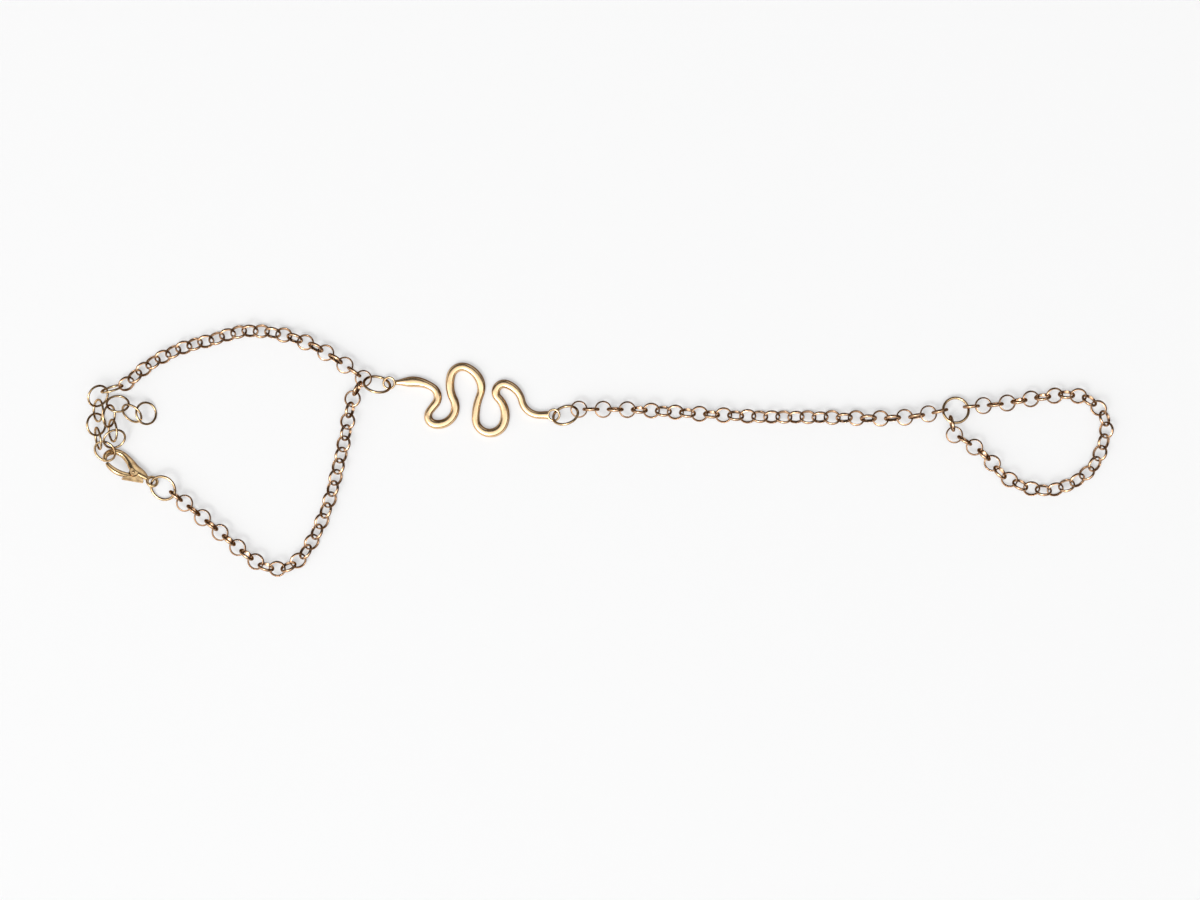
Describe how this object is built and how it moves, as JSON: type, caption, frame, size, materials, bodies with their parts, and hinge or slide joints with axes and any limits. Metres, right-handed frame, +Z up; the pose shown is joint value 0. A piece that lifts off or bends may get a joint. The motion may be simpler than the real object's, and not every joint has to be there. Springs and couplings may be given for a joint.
{
  "type": "hand chain bracelet",
  "caption": "Hand chain of round links: a wrist chain with lobster clasp and ring extension, a wavy cast snake bar, a chain over the hand and a finger loop, lying flat.",
  "frame": {"origin": "middle of the lying bracelet's footprint, on the surface it lies on", "axes": "+X along the hand chain towards the finger loop, +Y across it, +Z up off the surface"},
  "size_m": [0.1841, 0.0454, 0.0049],
  "materials": {
    "chain_gold": "polished, plated in warm rose gold",
    "cast_gold": "polished, plated in warm rose gold"
  },
  "bodies": {
    "bracelet": {"wrist_chain_upper": "chain_gold", "wrist_chain_lower": "chain_gold", "hand_chain": "chain_gold", "finger_chain": "chain_gold", "extension_chain": "chain_gold", "extension_tail": "chain_gold", "wrist_jump_ring": "chain_gold", "hand_jump_ring": "chain_gold", "finger_ring": "chain_gold", "clasp_jump_ring": "chain_gold", "snake_pendant": "cast_gold", "clasp_body": "cast_gold"},
    "lever": {"clasp_lever": "cast_gold"}
  },
  "joints": [
    {"name": "clasp_lever_hinge", "type": "hinge", "parent": "bracelet", "child": "lever", "pos_m": [-0.08379, -0.00431, 0.00164], "axis": [-0.3322, -0.4696, -0.818], "range_deg": [0, 15], "stiffness_Nm_per_rad": 0.001, "springref_deg": -17.19}
  ]
}
